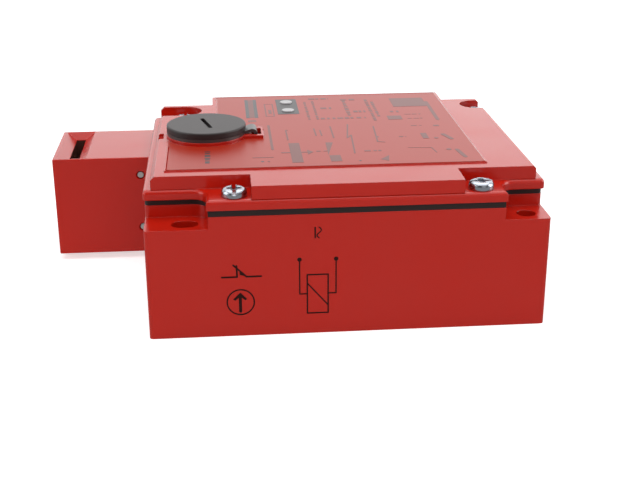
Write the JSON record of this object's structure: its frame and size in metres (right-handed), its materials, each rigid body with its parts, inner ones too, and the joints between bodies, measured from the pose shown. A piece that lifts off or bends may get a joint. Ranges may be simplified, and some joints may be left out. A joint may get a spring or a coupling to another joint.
{
  "type": "tongue interlock switch",
  "caption": "Metal guard-locking tongue interlock switch with turret head, screwed cover, strapped override cap and status lenses.",
  "frame": {"origin": "centre of the four-hole fixing pattern, on the mounting face", "axes": "+X from the turret head to the cable entries, +Y across the body towards the side that carries the head, +Z away from the mounting face to the cover"},
  "size_m": [0.1442, 0.0988, 0.0483],
  "materials": {
    "red_enamel": "gloss red enamel on a zinc alloy casting",
    "seal_rubber": "matt black nitrile rubber",
    "zinc_plated_steel": "bright zinc plate",
    "bright_steel": "ground steel",
    "spring_steel": "drawn spring wire and strip",
    "label_film": "thin printed film, satin",
    "white_lens": "translucent white lens",
    "black_moulding": "satin black moulding",
    "block_moulding": "cream thermoset moulding",
    "carrier_moulding": "off-white acetal",
    "contact_brass": "plain brass strip with silver contacts",
    "bush_bronze": "sintered bronze",
    "coil_copper": "enamelled copper winding",
    "circuit_board": "green laminate",
    "led_epoxy": "clear tinted epoxy"
  },
  "bodies": {
    "housing": {"board_screws": "zinc_plated_steel", "contact_block": "block_moulding", "contact_block_screws": "zinc_plated_steel", "cover": "red_enamel", "cover_gasket": "seal_rubber", "cover_screws": "zinc_plated_steel", "earth_clamp": "zinc_plated_steel", "earth_screw": "zinc_plated_steel", "fixed_contacts": "contact_brass", "guide_screws": "zinc_plated_steel", "head_housing": "red_enamel", "head_pins": "bright_steel", "head_seal": "seal_rubber", "housing_base": "red_enamel", "indicator_leds": "led_epoxy", "label_plate": "label_film", "led_board": "circuit_board", "led_lenses": "white_lens", "lock_guide": "zinc_plated_steel", "lock_spring": "spring_steel", "plunger_guide": "bush_bronze", "plunger_spring": "spring_steel", "solenoid_bobbin": "black_moulding", "solenoid_coil": "coil_copper", "solenoid_core": "bright_steel", "solenoid_frame": "zinc_plated_steel", "solenoid_screws": "zinc_plated_steel", "supply_terminal_screws": "zinc_plated_steel", "supply_terminals": "black_moulding", "terminal_screws": "zinc_plated_steel", "wheel_axle": "bright_steel"},
    "wheel": {"key_wheel": "bright_steel"},
    "plunger_set": {"plunger": "zinc_plated_steel", "contact_carrier": "carrier_moulding", "moving_bridges": "contact_brass", "bridge_springs": "spring_steel"},
    "lock": {"lock_slide": "zinc_plated_steel", "solenoid_armature": "bright_steel"},
    "override": {"override_rotor": "zinc_plated_steel", "rotor_clip": "spring_steel", "rotor_seal": "seal_rubber"},
    "strap": {"cap_strap": "seal_rubber"},
    "cap": {"screw_cap": "black_moulding", "cap_seal": "seal_rubber"}
  },
  "joints": [
    {"name": "wheel_turn", "type": "hinge", "parent": "housing", "child": "wheel", "pos_m": [-0.0778, 0.0287, 0.0195], "axis": [0, -1, 0], "range_deg": [0, 60]},
    {"name": "plunger_slide", "type": "slide", "parent": "housing", "child": "plunger_set", "axis": [-1, 0, 0], "range_m": [0, 0.0035], "deforming": ["plunger_spring"]},
    {"name": "override_turn", "type": "hinge", "parent": "housing", "child": "override", "pos_m": [-0.0412, 0, 0.038], "axis": [0, 0, 1], "range_deg": [0, 90]},
    {"name": "lock_draw", "type": "slide", "parent": "housing", "child": "lock", "axis": [0, -1, 0], "range_m": [0, 0.002], "deforming": ["lock_spring"]},
    {"name": "cap_lift", "type": "slide", "parent": "housing", "child": "strap", "axis": [0, 0, 1], "range_m": [0, 0.004]},
    {"name": "cap_unscrew", "type": "hinge", "parent": "strap", "child": "cap", "pos_m": [-0.0412, 0, 0.0451], "axis": [0, 0, 1], "range_deg": [0, 720]}
  ],
  "couplings": [
    {"joint": "wheel_turn", "follows": "plunger_slide", "rad_per_m": 299.19},
    {"joint": "override_turn", "follows": "lock_draw", "rad_per_m": 785.3},
    {"joint": "cap_unscrew", "follows": "cap_lift", "rad_per_m": 3141.5}
  ]
}
